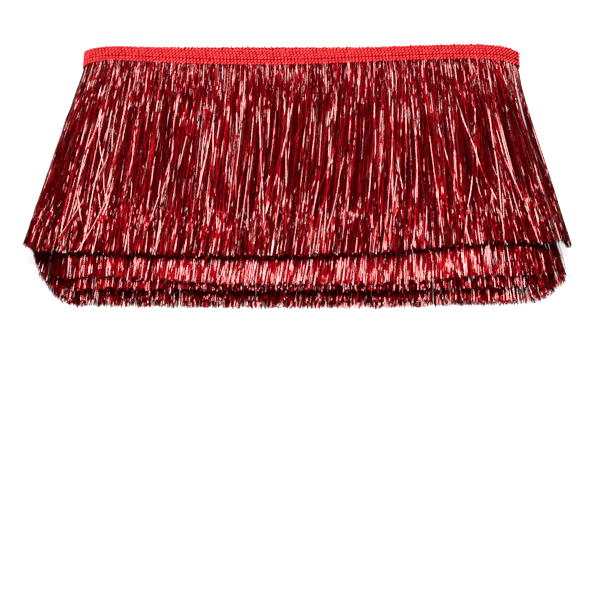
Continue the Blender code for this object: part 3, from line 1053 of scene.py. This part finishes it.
class TRIM_OT_tape_band(bpy.types.Operator):
    """Makes the ground of the heading tape, with the film ends that show in it"""

    bl_idname = "trim.tape_band"
    bl_label = "Tape ground"

    def execute(self, context):
        settings = context.scene.trim_tape
        film = context.scene.trim_strands
        winding = Winding()
        # Painted shade: the tape's ground between the stitches is a dimmed copy of the dark yarn.
        painted_shade_colours = [dimmed(settings.dark, share) for share in GROUND_PAINTED_SHADES]
        yarn = yarn_material("tape_ground_painted_shade", *painted_shade_colours, GROUND_GLOSS)
        dressed("tape_band", band_mesh(winding, settings), yarn, ["heading_tape"])
        chance = np.random.default_rng(settings.seed + 1)
        # Painted shade: the film ends behind the tape get a much dimmed dark film colour and a low
        # tint.
        ends = tinsel_material("film_end_painted_shade_tinsel", dimmed(film.dark, FILM_END_PAINTED_SHADE), film.bright)
        dressed("tape_film_ends", film_end_mesh(winding, settings, chance), ends)
        return {"FINISHED"}


class TRIM_OT_tape_stitches(bpy.types.Operator):
    """Covers the heading tape with rows of slanting stitches"""

    bl_idname = "trim.tape_stitches"
    bl_label = "Tape stitches"

    def execute(self, context):
        settings = context.scene.trim_tape
        winding = Winding()
        yarn = yarn_material("heading_yarn", settings.dark, settings.bright, STITCH_GLOSS)
        for number, stitched in enumerate(STITCHED):
            chance = np.random.default_rng(settings.seed + 20 + number)
            mesh = stitch_mesh(winding, stitched, settings, chance)
            dressed(stitched.name, mesh, yarn, smooth=True)
        return {"FINISHED"}


class TRIM_OT_outer_fringe(bpy.types.Operator):
    """Makes the strands of the outer turn"""

    bl_idname = "trim.outer_fringe"
    bl_label = "Outer fringe"

    def execute(self, context):
        dress_curtains(OUTER_CURTAINS)
        return {"FINISHED"}


class TRIM_OT_inner_fringe(bpy.types.Operator):
    """Makes the strands of the two inner turns"""

    bl_idname = "trim.inner_fringe"
    bl_label = "Inner fringe"

    def execute(self, context):
        dress_curtains(INNER_CURTAINS)
        return {"FINISHED"}


class TRIM_OT_loose_strands(bpy.types.Operator):
    """Makes the strands that lie loose across the top"""

    bl_idname = "trim.loose_strands"
    bl_label = "Loose strands"

    def execute(self, context):
        dress_curtains([LOOSE_CURTAIN], loose=True)
        return {"FINISHED"}


class TRIM_OT_declare_tape(bpy.types.Operator):
    bl_idname = "trim.declare_tape"
    bl_label = "Declare the tape"

    def execute(self, context):
        names = [curtain.name for curtain in (*OUTER_CURTAINS, *INNER_CURTAINS, LOOSE_CURTAIN)]
        names += [stitched.name for stitched in STITCHED] + ["tape_film_ends"]
        return {"FINISHED"}


# The studio: places and sizes in metres, angles in degrees.
FLOOR_SIZE = 6.0
FLOOR_GREY = 0.5
FLOOR_ROUGHNESS = 0.9
FLOOR_GLOW = 0.7
STRIP_PLACE = (0.0, 0.55, 1.25)
STRIP_SIZE = (0.24, 1.2)
STRIP_TILT = -20.0
STRIP_COLOUR = (1.0, 0.88, 0.85)
FRONT_SPREAD = 30.0
FRONT_TILT = 30.0
FRONT_TURN = -16.0
CAMERA_AIM = Vector((1.8, 0.75, 12.0)) * MM
SENSOR_WIDTH = 36.0


def pale_floor():
    """A wide pale floor under the bundle. Its own glow keeps it pale in the shade."""
    bm = bmesh.new()
    bmesh.ops.create_grid(bm, x_segments=1, y_segments=1, size=FLOOR_SIZE)
    mesh = bpy.data.meshes.new("floor")
    bm.to_mesh(mesh)
    bm.free()
    floor = placed("floor", mesh)
    paper = bpy.data.materials.new("pale_floor")
    paper.use_nodes = True
    values = {
        "Base Color": (FLOOR_GREY, FLOOR_GREY, FLOOR_GREY, 1.0),
        "Roughness": FLOOR_ROUGHNESS,
        "Emission Color": (1.0, 1.0, 1.0, 1.0),
        "Emission Strength": FLOOR_GLOW,
    }
    set_inputs(paper.node_tree, paper.node_tree.nodes["Principled BSDF"], values)
    mesh.materials.append(paper)


def strip_light(power):
    """A long soft light above and behind the bundle, whose reflections are the glints."""
    light = bpy.data.lights.new("strip_light", "AREA")
    light.shape = "RECTANGLE"
    light.size, light.size_y = STRIP_SIZE
    light.energy = power
    light.color = STRIP_COLOUR
    strip = placed("strip_light", light)
    strip.location = STRIP_PLACE
    strip.rotation_euler = (math.radians(STRIP_TILT), 0.0, 0.0)


def front_light(strength):
    """A broad light from the front."""
    light = bpy.data.lights.new("front_light", "SUN")
    light.energy = strength
    light.angle = math.radians(FRONT_SPREAD)
    front = placed("front_light", light)
    front.rotation_euler = (math.radians(FRONT_TILT), 0.0, math.radians(FRONT_TURN))


def aimed_camera(settings):
    """The camera in front of the cut ends, at the photo's angle."""
    lens = bpy.data.cameras.new("camera")
    lens.lens = settings.lens
    lens.sensor_width = SENSOR_WIDTH
    camera = placed("camera", lens)
    rise = settings.elevation
    back = Vector((0.0, -math.cos(rise), math.sin(rise)))
    camera.location = CAMERA_AIM + back * settings.distance
    camera.rotation_euler = (math.pi / 2 - rise - settings.pitch_below, 0.0, 0.0)
    bpy.context.scene.camera = camera


class TRIM_OT_stage(bpy.types.Operator):
    """Sets out the floor, the light and the camera"""

    bl_idname = "trim.stage"
    bl_label = "Stage"

    def execute(self, context):
        settings = context.scene.trim_stage
        pale_floor()
        strip_light(settings.strip_power)
        front_light(settings.front_strength)
        world = bpy.data.worlds.new("studio")
        world.use_nodes = True
        surroundings = world.node_tree.nodes["Background"]
        surroundings.inputs["Color"].default_value = (*[settings.world] * 3, 1.0)
        context.scene.world = world
        context.scene.view_settings.view_transform = "Standard"
        aimed_camera(settings)
        return {"FINISHED"}


class TRIM_PT_panel(bpy.types.Panel):
    """Lists the trim's operators and settings"""

    bl_idname = "TRIM_PT_panel"
    bl_label = "Tinsel fringe trim"
    bl_space_type = "VIEW_3D"
    bl_region_type = "UI"
    bl_category = "Trim"

    def draw(self, context):
        layout = self.layout
        for operator in OPERATORS:
            layout.operator(operator.bl_idname)
        for group in SETTINGS:
            settings = getattr(context.scene, group)
            for name in settings.__annotations__:
                layout.prop(settings, name)


OPERATORS = (
    TRIM_OT_tape_band,
    TRIM_OT_tape_stitches,
    TRIM_OT_outer_fringe,
    TRIM_OT_inner_fringe,
    TRIM_OT_loose_strands,
    TRIM_OT_declare_tape,
    TRIM_OT_stage,
)
SETTINGS = {
    "trim_strands": TrimStrandSettings,
    "trim_tape": TrimTapeSettings,
    "trim_stage": TrimStageSettings,
}
CLASSES = (*SETTINGS.values(), *OPERATORS, TRIM_PT_panel)


def register():
    for made in CLASSES:
        bpy.utils.register_class(made)
    for name, settings in SETTINGS.items():
        setattr(bpy.types.Scene, name, PointerProperty(type=settings))


def unregister():
    for name in SETTINGS:
        delattr(bpy.types.Scene, name)
    for made in reversed(CLASSES):
        bpy.utils.unregister_class(made)


def main():
    register()
    bpy.ops.trim.tape_band()
    bpy.ops.trim.tape_stitches()
    bpy.ops.trim.outer_fringe()
    bpy.ops.trim.inner_fringe()
    bpy.ops.trim.loose_strands()
    bpy.ops.trim.declare_tape()
    bpy.ops.trim.stage()


if __name__ == "__main__":
    main()
